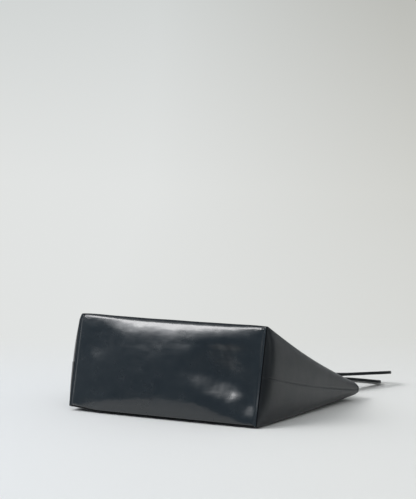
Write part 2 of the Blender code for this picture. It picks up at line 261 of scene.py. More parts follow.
# Colours of the paper, and of the backdrop's painted glow as the camera sees it, each at the left and at
# the right,
# and where they change: (way, start, end). The glow is painted shade, darker towards the right and upwards.
FLOOR_COLOURS = ((0.750, 0.763, 0.766), (0.744, 0.746, 0.726))
BACKDROP_LOW = ((0.755, 0.770, 0.762), (0.635, 0.640, 0.610))
BACKDROP_HIGH = ((0.650, 0.672, 0.665), (0.505, 0.510, 0.482))
FLOOR_ACROSS = (CAMERA_RIGHT, -0.30, 0.20)
BACKDROP_ACROSS = (CAMERA_RIGHT, -0.25, 0.85)
BACKDROP_UPWARDS = ((0, 0, 1), 0.05, 0.85)
BACKDROP_AHEAD = (CAMERA_AHEAD, 0.20, 0.80)
BACKGROUND = (0.75, 0.755, 0.745, 1)

# Stretches of floor and backdrop painted dark for mirrored rays only, a painted dark reflection in the
# leather: (way, start, end, share).
MIRRORED_DARK = (0.05, 0.06, 0.07, 1)
MIRRORED_STRETCHES = (
    ((0.9, -0.45, 0), 0.19, 0.50, 1),
    ((0, -1, 0), 0.16, 0.30, 0.24),
    ((0, 0, 1), 0.6, 1.4, 1),
)

# Soft areas over the room's light: (way, cosine at the rim, cosine in the middle, colour, mirrored only).
ROOM_LIGHT = (0.46, 0.47, 0.48)
ROOM_AREAS = (
    ((-0.60, -0.80, 0), -0.5, 0.7, (1.27, 1.28, 1.29), False),
    ((-0.42, -0.80, 0.43), 0.6, 0.93, (0.14, 0.19, 0.24), False),
    ((-0.49, -0.47, 0.73), 0.84, 0.99, (1.6, 1.68, 1.76), False),
    ((-0.559, -0.490, 0.669), 0.955, 0.997, (4.1, 4.15, 4.3), False),
    # The last two areas are dark for mirrored rays only: painted dark reflections in the leather.
    ((0.10, 0.45, 0.89), 0.50, 0.85, (0.10, 0.11, 0.13), True),
    ((0.83, -0.55, 0.10), 0.66, 0.92, (0.10, 0.11, 0.13), True),
)

SOFTBOX_PLACE = (-1.50, -1.80, 2.62)
SOFTBOX_TARGET = (0, 0, 0.1)
SOFTBOX_SIZE = (1.9, 0.95)
SOFTBOX_POWER = 32
SOFTBOX_COLOUR = (1, 0.985, 0.98)


def smoothstep(value):
    value = min(1, max(0, value))
    return value * value * (3 - 2 * value)


def softened(value, softness):
    return softness * math.log1p(math.exp(value / softness))


def hump(value, centre, spread):
    return math.exp(-(((value - centre) / spread) ** 2))


# The bag's shape, as in the solids.


def base_top():
    return -PANEL_LENGTH / 2 + BASE_DEPTH * math.sin(BASE_LEAN), BASE_DEPTH * math.cos(BASE_LEAN)


def front_lip():
    top_y, top_z = base_top()
    return top_y + math.sqrt(PANEL_LENGTH**2 - (top_z - MOUTH_DEPTH) ** 2), MOUTH_DEPTH


def half_width(v):
    return (BASE_WIDTH + v * (MOUTH_WIDTH - BASE_WIDTH)) / 2


def section_frame(v):
    """(y of its foot, upward direction as (y, z), depth at the folds) of the section at v."""
    foot = (v - 0.5) * PANEL_LENGTH
    top_y, top_z = base_top()
    lip_y, lip_z = front_lip()
    rise_y = top_y + v * (lip_y - top_y) - foot
    rise_z = top_z + v * (lip_z - top_z)
    depth = math.hypot(rise_y, rise_z)
    return foot, (rise_y / depth, rise_z / depth), depth - FOLD_SAG * 4 * v * (1 - v)


def corner_lift(x, y, z):
    """How far the base's lower left corner has come off the floor."""
    left = smoothstep((-x - LIFT_START) / LIFT_RUN)
    low = 1 - smoothstep(z / LIFT_HEIGHT)
    near = 1 - smoothstep((y + PANEL_LENGTH / 2) / LIFT_LENGTH)
    return CORNER_LIFT * left * low * near


def corner_tuck(v, x, height):
    """How far the base's upper left corner is drawn in."""
    left = smoothstep((-x - TUCK_START) / TUCK_RUN)
    high = smoothstep((height / BASE_DEPTH - TUCK_HEIGHT_SHARE) / (1 - TUCK_HEIGHT_SHARE))
    near = 1 - smoothstep(v / TUCK_LENGTH_SHARE)
    return CORNER_TUCK * left * high * near


def section_point(v, x, height):
    """The point at x and at a height above the back panel, in the section at v."""
    foot, (up_y, up_z), _ = section_frame(v)
    y, z = foot + up_y * height, up_z * height
    return Vector((x + corner_tuck(v, x, height), y, z + corner_lift(x, y, z)))


def fold_radius(v, depth):
    return FOLD_RADIUS + (depth / 2 - FOLD_RADIUS) * v * v


def fold_reach(v, depth):
    return fold_radius(v, depth) * (1 + MOUTH_FOLD_STRETCH * v**MOUTH_FOLD_GROWTH)


def front_face_lift(v, x):
    """How far the front face stands above the straight line between its folds."""
    depth = section_frame(v)[2]
    share = min(1, abs(x) / (half_width(v) - fold_reach(v, depth)))
    sag = FACE_SAG * 4 * v * (1 - v) + BASE_EDGE_SAG * (1 - v) ** EDGE_SAG_FADE
    roll = TOP_ROLL * hump(v * PANEL_LENGTH, 0, TOP_ROLL_REACH) * (1 - share**TOP_ROLL_POWER)
    return MOUTH_CROWN * v * v * (1 - share**MOUTH_CROWN_POWER) - sag * (1 - share**2) + roll


def belly(v, height, depth):
    """How far a gusset stands out sideways."""
    rise = 1 - math.exp(-v * PANEL_LENGTH / GUSSET_BELLY_RISE)
    across = 1 - abs(2 * height / depth - 1) ** BELLY_POWER
    return GUSSET_BELLY * rise * (1 - v) ** BELLY_FADE * max(0, across)


# Columns of the skin: (kind, side in x, side in z, index, place in the quarter or on the face).


def quarter_columns(side_x, side_z):
    return [("quarter", side_x, side_z, k, k / QUARTER_LAST) for k in range(QUARTER_LAST + 1)]


def skin_columns():
    """The columns once round the bag: from the right side seam over the front, and back under it."""
    columns = []
    for side_z, first in ((1, 1), (-1, -1)):
        columns += quarter_columns(first, side_z)[0 if side_z > 0 else 1 :]
        columns += [("face", first, side_z, k, 1 - 2 * k / FACE_COLUMNS) for k in range(1, FACE_COLUMNS)]
        columns += list(reversed(quarter_columns(-first, side_z)))
    return columns[:-1]


def profile(column, v):
    """(x, rise above the middle, outward direction, distance from the side seam) in the section at v."""
    kind, side_x, side_z, index, place = column
    depth = section_frame(v)[2]
    radius = fold_radius(v, depth)
    reach = fold_reach(v, depth)
    straight_x = half_width(v) - reach
    side_top = depth / 2 - radius
    if kind == "face":
        x = straight_x * place * side_x
        return x, (side_top + radius) * side_z, (0, side_z), depth
    quarter = side_top + radius * math.pi / 2
    share = QUARTER_AT_BASE[index] * (1 - v) + place * v
    along = share * quarter
    if along <= side_top:
        return (straight_x + reach) * side_x, along * side_z, (side_x, 0), along
    angle = (along - side_top) / radius
    turn = (math.cos(angle) * side_x, math.sin(angle) * side_z)
    steep = Vector((turn[0] * radius, turn[1] * reach)).normalized()
    x = straight_x * side_x + reach * turn[0]
    return x, side_top * side_z + radius * turn[1], (steep.x, steep.y), along


def ridge(value, centre, size):
    """The height at a value of a ridge of size (height, half-width)."""
    return size[0] * hump(value, centre, size[1])


def waves(v, x, side_z):
    """Soft unevenness of the leather on the two faces."""
    y = v * PANEL_LENGTH
    wave = 0
    for share, along_x, along_y, phase, shift in FACE_WAVES:
        wave += share * math.sin(along_x * x + along_y * y + phase + shift * side_z)
    if side_z < 0:
        wave *= LYING_WAVE_SHARE
    return WAVE_HEIGHT * wave * math.sin(math.pi * min(1, v * (1 + WAVE_START) + WAVE_START)) ** 0.5


def surface_detail(column, v, x, along):
    """How far waves, seams and rows of stitches lift the leather at a place."""
    kind, _, side_z, _, place = column
    lift = -ridge((1 - v) * PANEL_LENGTH, HEM_STITCH_INSET, HEM_STITCH_GROOVE)
    if kind == "face":
        return lift + waves(v, x, side_z) * (1 - place**WAVE_EDGE_POWER)
    lift -= ridge(along, 0, SIDE_SEAM_GROOVE)
    if side_z < 0:
        lift += SEAM_STEP * smoothstep(along / SEAM_STEP_RISE) * math.exp(-along / SEAM_STEP_FADE)
        lift -= ridge(along, SEAM_STITCH_INSET, SIDE_STITCH_GROOVE)
    return lift


def skin(column, v, inset=0, detail=True):
    """A point of the bag's skin, inset from its outer face."""
    x, rise, out, along = profile(column, v)
    depth = section_frame(v)[2]
    radius = fold_radius(v, depth)
    side_top = max(depth / 2 - radius, GAP)
    offset = surface_detail(column, v, x, along) - inset if detail else -inset
    height = depth / 2 + rise
    side = math.copysign(belly(v, height, depth), x) if column[0] == "quarter" else 0
    if x < 0:
        side *= 1 + LEFT_FULLNESS * math.exp(-v / LEFT_FULLNESS_FADE)
    if column[2] > 0:
        height += front_face_lift(v, x) * smoothstep(rise / side_top)
    return section_point(v, x + side + out[0] * offset, height + out[1] * offset)


# The base, crowned between its long folds and its stitched short edges.

BASE_UP = section_frame(0)[1]
BASE_OUT = Vector((0, -BASE_UP[1], BASE_UP[0]))
BASE_HALF = half_width(0)


def base_point(x, height, inset=0):
    """A point of the base, crowned and dented, inset from its outer face."""
    across = min(1, abs(x) / BASE_HALF)
    along = min(1, abs(2 * height / BASE_DEPTH - 1))
    fuller = math.exp(-((x / BASE_FULLNESS_REACH) ** 4))
    edge_power = BASE_EDGE_POWER - BASE_EDGE_SOFTENING * fuller
    crown = (BASE_CROWN + BASE_FULLNESS * fuller) * (1 - across**BASE_SIDE_POWER) * (1 - along**edge_power)
    dents = 0
    for at_x, at_height, wide, high, lift in BASE_DENTS:
        if height >= at_height:
            high *= DENT_UPPER_STRETCH
        dents += lift * hump(x, at_x, wide) * hump(height, at_height, high)
    crown += dents * (1 - across**DENT_SIDE_POWER) * (1 - along**DENT_EDGE_POWER)
    edge = BASE_HALF - abs(x)
    crown -= ridge(edge, BASE_STITCH_INSET, BASE_STITCH_GROOVE)
    crown += ridge(edge, BASE_STITCH_INSET / 2, BASE_SEAM_RIDGE)
    height += front_face_lift(0, x) * smoothstep(2 * height / BASE_DEPTH - 1)
    return section_point(0, x, height) + BASE_OUT * (crown - inset)


def base_rounding(column):
    """(inward direction in the base's plane, how far its edge is rounded there, and along the body)."""
    out = profile(column, 0)[2]
    share = out[1] ** 2
    fold = BASE_TOP_FOLD if out[1] > 0 else BASE_LOW_FOLD
    cut, run = (value * share + BASE_SEAM * (1 - share) for value in fold)
    return (-out[0], -out[1]), cut, run


def border_rectangle():
    """Places round a rectangle inside the base's border, one for each column."""
    half_x = BASE_HALF - BORDER
    centre = BASE_DEPTH / 2
    half_h = centre - BORDER
    places = [(half_x, centre + half_h * k / CORNER_COLUMN) for k in range(CORNER_COLUMN)]
    places += [(half_x * (1 - 2 * k / CELLS_ACROSS), centre + half_h) for k in range(CELLS_ACROSS)]
    places += [(-half_x, centre + half_h * (1 - 2 * k / CELLS_UP)) for k in range(CELLS_UP)]
    places += [(-half_x * (1 - 2 * k / CELLS_ACROSS), centre - half_h) for k in range(CELLS_ACROSS)]
    places += [(half_x, centre - half_h * (1 - k / CORNER_COLUMN)) for k in range(CORNER_COLUMN)]
    return places


def base_border(columns, inset=0):
    """Rings of (x, height) in the base's plane, from its rounded edge to a rectangle inside it."""
    starts = []
    for column in columns:
        x, rise, _, _ = profile(column, 0)
        (in_x, in_h), cut, _ = base_rounding(column)
        starts.append((x + in_x * (cut + inset), BASE_DEPTH / 2 + rise + in_h * (cut + inset)))
    rectangle = border_rectangle()
    rings = [starts]
    for distance in (*BORDER_RINGS, BORDER):
        share = distance / BORDER
        ring = []
        for (x, h), (inner_x, inner_h) in zip(starts, rectangle):
            ring.append((x * (1 - share) + inner_x * share, h * (1 - share) + inner_h * share))
        rings.append(ring)
    return rings


def base_filling(edge):
    """Places inside the border's last ring, and faces that join them to it as an even grid."""
    count = len(edge)
    top_right = CORNER_COLUMN
    top_left = top_right + CELLS_ACROSS
    low_left = top_left + CELLS_UP
    low_right = low_left + CELLS_ACROSS
    grid = np.zeros((CELLS_UP + 1, CELLS_ACROSS + 1), int)
    for k in range(CELLS_ACROSS + 1):
        grid[0, k] = (top_right + k) % count
        grid[CELLS_UP, k] = (low_right - k) % count
    for k in range(CELLS_UP + 1):
        grid[k, CELLS_ACROSS] = (top_left + k) % count
        grid[k, 0] = (top_right - k) % count
    places = []
    for j in range(1, CELLS_UP):
        for i in range(1, CELLS_ACROSS):
            grid[j, i] = count + len(places)
            places.append((edge[grid[0, i]][0], edge[grid[j, 0]][1]))
    faces = []
    for j in range(CELLS_UP):
        for i in range(CELLS_ACROSS):
            corners = (grid[j, i], grid[j, i + 1], grid[j + 1, i + 1], grid[j + 1, i])
            faces.append(tuple(int(c) for c in corners))
    return places, faces


def outer_rows(columns):
    """Rows of the skin's outer face, from just inside the base's edge to the mouth."""
    rings = [[base_point(x, h) for x, h in ring] for ring in base_border(columns)]
    starts = [base_rounding(column)[2] / PANEL_LENGTH for column in columns]
    shares = [k / ROUNDING_STEPS for k in range(1, ROUNDING_STEPS + 1)]
    arcs = []
    for column, first, v in zip(columns, rings[0], starts):
        corner = skin(column, 0)
        last = skin(column, v)
        arcs.append([first * (1 - u) ** 2 + corner * (2 * u * (1 - u)) + last * u * u for u in shares])
    rows = list(reversed(rings))
    rows += [[arc[k] for arc in arcs] for k in range(ROUNDING_STEPS)]
    for row in BASE_ROWS + BODY_ROWS + HEM_ROWS:
        rows.append([skin(column, v + (1 - v) * row) for column, v in zip(columns, starts)])
    return rows


def loft(name, rows, caps=False, fillings=()):
    """A mesh from closed rows, with flat ends or with fillings of (points, faces)."""
    count = len(rows[0])
    points = [p for row in rows for p in row]
    faces = []
    for r in range(len(rows) - 1):
        for c in range(count):
            after = (c + 1) % count
            faces.append((r * count + c, (r + 1) * count + c, (r + 1) * count + after, r * count + after))
    if caps:
        faces.append(tuple(range(count)))
        faces.append(tuple((len(rows) - 1) * count + c for c in reversed(range(count))))
    for more_points, more_faces in fillings:
        points += more_points
        faces += more_faces
    return make(name, points, faces)


def make(name, points, faces, smooth=True):
    mesh = bpy.data.meshes.new(name)
    mesh.from_pydata([tuple(p) for p in points], [], faces)
    mesh.validate()
    piece = bpy.data.objects.new(name, mesh)
    bpy.context.scene.collection.objects.link(piece)
    if smooth:
        mesh.shade_smooth()
    return piece


def facing_outwards(piece):
    """Turns the faces of a closed piece outwards."""
    volume = 0
    mesh = piece.data
    mesh.calc_loop_triangles()
    for tri in mesh.loop_triangles:
        a, b, c = (mesh.vertices[i].co for i in tri.vertices)
        volume += a.dot(b.cross(c))
    if volume < 0:
        mesh.flip_normals()
    return piece


# Materials. An owner of nodes is a material or the world.


def shader_of(material):
    return material.node_tree.nodes["Principled BSDF"]


def new_material(name, colour, roughness, **sockets):
    material = bpy.data.materials.new(name)
    material.use_nodes = True
    shader = shader_of(material)
    shader.inputs["Base Color"].default_value = (*colour, 1)
    shader.inputs["Roughness"].default_value = roughness
    for socket, value in sockets.items():
        shader.inputs[socket.replace("_", " ")].default_value = value
    return material


def link(owner, source, target):
    owner.node_tree.links.new(source, target)


def node(owner, kind, **values):
    made = owner.node_tree.nodes.new(kind)
    for name, value in values.items():
        setattr(made, name, value)
    return made


def position(material):
    return node(material, "ShaderNodeTexCoord").outputs["Object"]


def noise(material, scale, detail=2.0, roughness=0.5, stretch=None):
    made = node(material, "ShaderNodeTexNoise")
    made.inputs["Scale"].default_value = scale
    made.inputs["Detail"].default_value = detail
    made.inputs["Roughness"].default_value = roughness
    source = position(material)
    if stretch:
        mapping = node(material, "ShaderNodeMapping")
        mapping.inputs["Scale"].default_value = stretch
        link(material, source, mapping.inputs["Vector"])
        source = mapping.outputs["Vector"]
    link(material, source, made.inputs["Vector"])
    return made.outputs["Fac"]


def ramp(owner, source, low, high, start=0.3, end=0.7, shape="LINEAR"):
    made = node(owner, "ShaderNodeMapRange", clamp=True, interpolation_type=shape)
    made.inputs["From Min"].default_value = start
    made.inputs["From Max"].default_value = end
    made.inputs["To Min"].default_value = low
    made.inputs["To Max"].default_value = high
    link(owner, source, made.inputs["Value"])
    return made.outputs["Result"]


def colours(material, source, first, second):
    return mixed_colour(material, ramp(material, source, 0, 1), first, second)


def mixed_colour(owner, share, first, second):
    """First where share is 0 and second where it is 1. Each is a colour or a socket."""
    made = node(owner, "ShaderNodeMix", data_type="RGBA")
    for socket, value in (("A", first), ("B", second)):
        target = next(i for i in made.inputs if i.name == socket and i.type == "RGBA")
        if isinstance(value, tuple):
            target.default_value = (*value, 1)
        else:
            link(owner, value, target)
    link(owner, share, made.inputs["Factor"])
    return next(o for o in made.outputs if o.type == "RGBA")


def product(owner, first, second):
    made = node(owner, "ShaderNodeMath", operation="MULTIPLY")
    link(owner, first, made.inputs[0])
    link(owner, second, made.inputs[1])
    return made.outputs["Value"]


def along_way(owner, source, way, start, end, most=1, shape="LINEAR"):
    """Grows from 0 to most, where the source goes from start to end along a way."""
    made = node(owner, "ShaderNodeVectorMath", operation="DOT_PRODUCT")
    made.inputs[1].default_value = way
    link(owner, source, made.inputs[0])
    return ramp(owner, made.outputs["Value"], 0, most, start, end, shape)


def bump(material, source, distance, strength, under=None):
    made = node(material, "ShaderNodeBump")
    made.inputs["Distance"].default_value = distance
    made.inputs["Strength"].default_value = strength
    link(material, source, made.inputs["Height"])
    if under is not None:
        link(material, under, made.inputs["Normal"])
    return made.outputs["Normal"]


def leather(name, dark, light, smooth, rough, coat, grain, unevenness, coat_rough=0.18, streaks=0):
    """A leather with pores, a fine grain, soft unevenness, patches of colour and wear in its gloss."""
    material = new_material(name, dark, smooth, Coat_Weight=coat, Coat_Roughness=coat_rough)
    shader = shader_of(material)
    cells = node(material, "ShaderNodeTexVoronoi")
    cells.inputs["Scale"].default_value = PORE_SCALE
    link(material, position(material), cells.inputs["Vector"])
    pores = bump(material, cells.outputs["Distance"], PORE_DEPTH, grain)
    fine = bump(material, noise(material, *GRAIN), GRAIN_DEPTH, 0.3, pores)
    soft = bump(material, noise(material, *SWELLS), SWELL_DEPTH, unevenness, fine)
    if streaks:
        soft = bump(material, noise(material, *STREAKS), STREAK_DEPTH, streaks, soft)
        link(material, soft, shader.inputs["Coat Normal"])
    link(material, soft, shader.inputs["Normal"])
    patches = noise(material, *PATCHES)
    link(material, colours(material, patches, dark, light), shader.inputs["Base Color"])
    wear = ramp(material, noise(material, *WEAR), smooth, rough, *WEAR_SPAN)
    link(material, wear, shader.inputs["Roughness"])
    return material


def roughen(material, scale):
    """Gives thread or edge paint a fine roughness."""
    rough = bump(material, noise(material, scale), ROUGH_DEPTH, 0.5)
    link(material, rough, shader_of(material).inputs["Normal"])


def fibreboard():
    material = new_material("fibreboard", (0.085, 0.070, 0.055), 0.85)
    shader = shader_of(material)
    fibres = noise(material, *FIBRES)
    colour = colours(material, fibres, (0.06, 0.05, 0.04), (0.12, 0.10, 0.08))
    link(material, colour, shader.inputs["Base Color"])
    link(material, bump(material, fibres, FIBRE_DEPTH, 0.4), shader.inputs["Normal"])
    return material


def tape():
    material = new_material("tape", (0.016, 0.018, 0.021), 0.8, Sheen_Weight=0.3)
    weave = node(material, "ShaderNodeTexWave", wave_type="BANDS", bands_direction="Y")
    weave.inputs["Scale"].default_value = WEAVE_SCALE
    link(material, position(material), weave.inputs["Vector"])
    threads = bump(material, weave.outputs["Fac"], WEAVE_DEPTH, 0.6)
    link(material, threads, shader_of(material).inputs["Normal"])
    return material


def make_materials():
    made = {
        "body": leather(
            "body_leather", (0.0075, 0.0100, 0.0120), (0.0115, 0.0145, 0.0170),
            smooth=0.34, rough=0.42, coat=0.10, grain=0.4, unevenness=0.10, coat_rough=0.3,
        ),
        # Painted shade: a near-black matte leather without gloss. It goes where the floor's contact shadow
        # falls under the base's low fold, and along the first rows round the side seams.
        "under": new_material("painted_shade_leather", (0.0030, 0.0036, 0.0042), 0.85, Specular_IOR_Level=0.05),
        "base": leather(
            "base_leather", (0.0060, 0.0092, 0.0120), (0.0095, 0.0132, 0.0160),
            smooth=0.20, rough=0.30, coat=0.75, grain=0.2, unevenness=0.26, coat_rough=0.13, streaks=0.17,
        ),
        "strap": leather(
            "strap_leather", (0.005, 0.007, 0.009), (0.008, 0.010, 0.013),
            smooth=0.36, rough=0.48, coat=0, grain=0.3, unevenness=0.1,
        ),
        "lining": leather(
            "lining_leather", (0.028, 0.029, 0.031), (0.042, 0.043, 0.046),
            smooth=0.55, rough=0.75, coat=0, grain=0.6, unevenness=0.3,
        ),
        "thread": new_material("thread", (0.012, 0.015, 0.020), 0.45, Sheen_Weight=0.2),
        "edge": new_material("edge_paint", (0.004, 0.006, 0.008), 0.45, Specular_IOR_Level=0.3),
        "board": fibreboard(),
        "tape": tape(),
    }
    roughen(made["thread"], 2600)
    roughen(made["edge"], 900)
    return made


MATERIALS = make_materials()


def dress(piece, *names):
    piece.data.materials.clear()
    for name in names:
        piece.data.materials.append(MATERIALS[name])


# Stitches.


def resampled(path, pitch):
    """(place, direction, normal) at even steps along a path of (place, normal)."""
    places = np.array([list(p) for p, _ in path])
    normals = np.array([list(n) for _, n in path])
    run = np.concatenate([[0], np.cumsum(np.linalg.norm(np.diff(places, axis=0), axis=1))])
    count = max(2, int(run[-1] / pitch))
    at = (np.arange(count) + 0.5) * run[-1] / count
    half = pitch / 4

    def sample(values, where):
        return np.stack([np.interp(where, run, values[:, k]) for k in range(3)], axis=1)

    direction = sample(places, at + half) - sample(places, at - half)
    direction /= np.linalg.norm(direction, axis=1)[:, None]
    return sample(places, at), direction, sample(normals, at)


def stitches(name, paths, stitch=BAG_STITCH):
    """Rows of thread, each stitch a small capsule that dips into the leather at its ends."""
    sides = THREAD_SIDES
    pitch, length, radius = stitch
    points = []
    faces = []
    for path in paths:
        for place, along, normal in zip(*resampled(path, pitch)):
            along = along + np.cross(normal, along) * STITCH_SLANT
            across = np.cross(along, normal)
            across /= np.linalg.norm(across)
            first = len(points)
            for shift, size, lift in STITCH_RINGS:
                middle = place + along * shift * length + normal * lift * radius
                for k in range(sides):
                    angle = 2 * math.pi * k / sides
                    ray = across * math.cos(angle) + normal * math.sin(angle) * THREAD_FLATNESS
                    points.append(middle + ray * size * radius)
            for r in range(len(STITCH_RINGS) - 1):
                for k in range(sides):
                    a = first + r * sides
                    faces.append((a + k, a + (k + 1) % sides, a + sides + (k + 1) % sides, a + sides + k))
            faces.append(tuple(first + k for k in reversed(range(sides))))
            last = first + (len(STITCH_RINGS) - 1) * sides
            faces.append(tuple(last + k for k in range(sides)))
    piece = make(name, points, faces)
    dress(piece, "thread")
    return piece


def skin_normal(column, v):
    """The outward direction of the skin, without its waves and seams."""
    step = 0.004
    out = profile(column, v)[2]
    up = Vector((0, *section_frame(v)[1]))
    lengthwise = skin(column, min(1, v + step), detail=False) - skin(column, max(0, v - step), detail=False)
    normal = Vector((out[0], 0, 0)) + up * out[1]
    normal -= lengthwise * normal.dot(lengthwise) / lengthwise.dot(lengthwise)
    return normal.normalized()


# The bag, with its material slots.

BODY, EDGE, LINING, BASE, PAINTED_SHADE = range(5)


def placed(faces, count, edge_first, inside_first):
    """A filling's faces, with the places of its edge and inside it numbered from where they are."""
    inside_first -= count
    return [tuple(i + (edge_first if i < count else inside_first) for i in face) for face in faces]


def build_bag():
    """The outer leather and its lining as one shell. Returns its columns."""
    columns = skin_columns()
    count = len(columns)
    rows = outer_rows(columns)
    outer_count = len(rows)
    rows += [[skin(column, v, inset) for column in columns] for inset, v in RIM_ROWS]
    rim_count = len(rows)
    rows += [[skin(column, v, LEATHER, detail=False) for column in columns] for v in INNER_ROWS]
    inner_edge = base_border(columns, LEATHER)[-1]
    rows.append([base_point(x, h, LEATHER) for x, h in inner_edge])
    size = len(rows) * count
    outer_places, outer_faces = base_filling(base_border(columns)[-1])
    inner_places, inner_faces = base_filling(inner_edge)
    inner_first = size + len(outer_places)
    outer_faces = placed(outer_faces, count, 0, size)
    inner_faces = [tuple(reversed(face)) for face in placed(inner_faces, count, size - count, inner_first)]
    fillings = (
        ([base_point(x, h) for x, h in outer_places], outer_faces),
        ([base_point(x, h, LEATHER) for x, h in inner_places], inner_faces),
    )
    piece = facing_outwards(loft("bag_body", rows, fillings=fillings))
    dress(piece, "body", "edge", "lining", "base", "under")
    ways = [profile(column, 0)[2] for column in columns]
    fold = len(BORDER_RINGS) + 2

    def slot_of(first, last):
        """The material slot of a face, by its lowest and highest point number."""
        row = first // count
        way = ways[first % count]
        if first >= inner_first or first >= size - count and last >= inner_first:
            return LINING
        if last >= size:
            return BASE
        if row >= rim_count - 1:
            return LINING
        if row >= outer_count:
            return EDGE
        # Painted shade: the rows under the base's low fold and the first rows round the side seams take the
        # near-black matte leather.
        if fold <= row < fold + LOW_SEAM_ROWS and way[1] < -SEAM_COSINE:
            return PAINTED_SHADE
        if fold <= row < fold + SIDE_SEAM_ROWS and abs(way[0]) > SEAM_COSINE:
            return PAINTED_SHADE
        return BASE if row < fold + 2 else BODY

    for face in piece.data.polygons:
        face.material_index = slot_of(min(face.vertices), max(face.vertices))
    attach(piece, "bag")
    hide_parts("front_panel", "back_panel", "base_panel")
    return columns


def build_board():
    """The stiff board behind the base, lifted with its left corner."""
    across, upright = BOARD_CELLS
    points = []
    faces = []
    layer = (across + 1) * (upright + 1)
    for depth in (BOARD_DEPTH, BOARD_DEPTH + BOARD_THICKNESS):
        for j in range(upright + 1):
            for i in range(across + 1):
                x = (BASE_HALF - BOARD_INSET) * (1 - 2 * i / across)
                height = BOARD_INSET + (BASE_DEPTH - 2 * BOARD_INSET) * j / upright
                points.append(section_point(0, x, height) - BASE_OUT * depth)
    for j in range(upright):
        for i in range(across):
            a = j * (across + 1) + i
            face = (a, a + 1, a + across + 2, a + across + 1)
            faces += [face, tuple(p + layer for p in reversed(face))]
    rim = list(range(across)) + [across + j * (across + 1) for j in range(upright)]
    rim += [layer - 1 - k for k in range(across)] + [(upright - j) * (across + 1) for j in range(upright)]
    for a, b in zip(rim, rim[1:] + rim[:1]):
        faces.append((a, a + layer, b + layer, b))
    piece = facing_outwards(make("base_stiffener", points, faces, smooth=False))
    dress(piece, "board")
    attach(piece, "bag")
    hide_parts("base_board")


def build_facing(columns):
    """The band of leather inside the mouth that holds the straps, with its row of stitches."""
    start = 1 - FACING_HEIGHT / PANEL_LENGTH
    outer = FACING_DEPTH
    inner = FACING_DEPTH + FACING_THICKNESS
    places = [start + (FACING_TOP - start) * k / FACING_STEPS for k in range(FACING_STEPS + 1)]
    rows = [[skin(c, v, outer, detail=False) for c in columns] for v in places]
    rows += [[skin(c, v, inner, detail=False) for c in columns] for v in reversed(places)]
    rows.append(rows[0])
    piece = facing_outwards(loft("mouth_facing", rows))
    dress(piece, "lining")
    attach(piece, "bag")
    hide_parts("front_facing", "back_facing")
    v = start + FACING_STITCH_INSET
    line = [(skin(c, v, inner, detail=False), -skin_normal(c, v)) for c in columns + columns[:1]]
    thread = stitches("facing_stitches", [line])
    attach(thread, "bag")


def side_seam_line(columns, side):
    """Places and normals along the side seam's row of stitches."""
    near = [c for c in columns if c[0] == "quarter" and c[1] == side and c[2] < 0]
    line = []
    for v in np.linspace(*SIDE_STITCH_ROW):
        depth = section_frame(v)[2]
        quarter = depth / 2 - fold_radius(v, depth) * (1 - math.pi / 2)
        runs = [((QUARTER_AT_BASE[c[3]] * (1 - v) + c[4] * v) * quarter, c) for c in near]
        runs.sort(key=lambda run: abs(run[0] - SEAM_STITCH_INSET))
        a, b = runs[0][1], runs[1][1]
        run_a, run_b = profile(a, v)[3], profile(b, v)[3]
        mix = (SEAM_STITCH_INSET - run_a) / (run_b - run_a)
        line.append((skin(a, v).lerp(skin(b, v), mix), skin_normal(a, v)))
    return line


def build_bag_stitches(columns):
    """The stitches round the hem, along the base's short edges and along the side seams."""
    hem = 1 - HEM_STITCH_INSET / PANEL_LENGTH
    lines = [[(skin(c, hem), skin_normal(c, hem)) for c in columns + columns[:1]]]
    for side in (-1, 1):
        x = side * (BASE_HALF - BASE_STITCH_INSET)
        lines.append([(base_point(x, h), BASE_OUT) for h in np.linspace(*BASE_STITCH_ROW)])
        lines.append(side_seam_line(columns, side))
    thread = stitches("bag_stitches", lines)
    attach(thread, "bag")


# The handles.


def strap_height(v, x, front):
    """How far above the back panel a strap's middle lies inside the bag."""
    inset = STRAP_DEPTH + STRAP_THICKNESS / 2
    if front:
        return section_frame(v)[2] + front_face_lift(v, x) - inset
    return inset


def handle_plan(bar_width, start_y, reach):
    """(place, sideways) in plan along a handle outside the bag, from its right leg to its left one."""
    start = Vector((HANDLE_SPACING / 2, start_y))
    corner = Vector((bar_width / 2, start_y + reach))
    leg = (corner - start).normalized()
    turn = math.acos(leg.dot(Vector((-1, 0))))
    cut = STRAP_CORNER_RADIUS * math.tan(turn / 2)
    leg_end = corner - leg * cut
    outward = Vector((leg.y, -leg.x))
    centre = leg_end - outward * STRAP_CORNER_RADIUS
    first = math.atan2(outward.y, outward.x)
    half = [(start + (leg_end - start) * k / LEG_STEPS, outward) for k in range(LEG_STEPS)]
    for k in range(CORNER_STEPS + 1):
        angle = first + turn * k / CORNER_STEPS
        radial = Vector((math.cos(angle), math.sin(angle)))
        half.append((centre + radial * STRAP_CORNER_RADIUS, radial))
    bar_start = half[-1][0].x
    bar = []
    for k in range(1, BAR_STEPS):
        bar.append((Vector((bar_start * (1 - 2 * k / BAR_STEPS), corner.y)), Vector((0, 1))))
    mirrored = [(Vector((-p.x, p.y)), Vector((-d.x, d.y))) for p, d in reversed(half)]
    return half + bar + mirrored


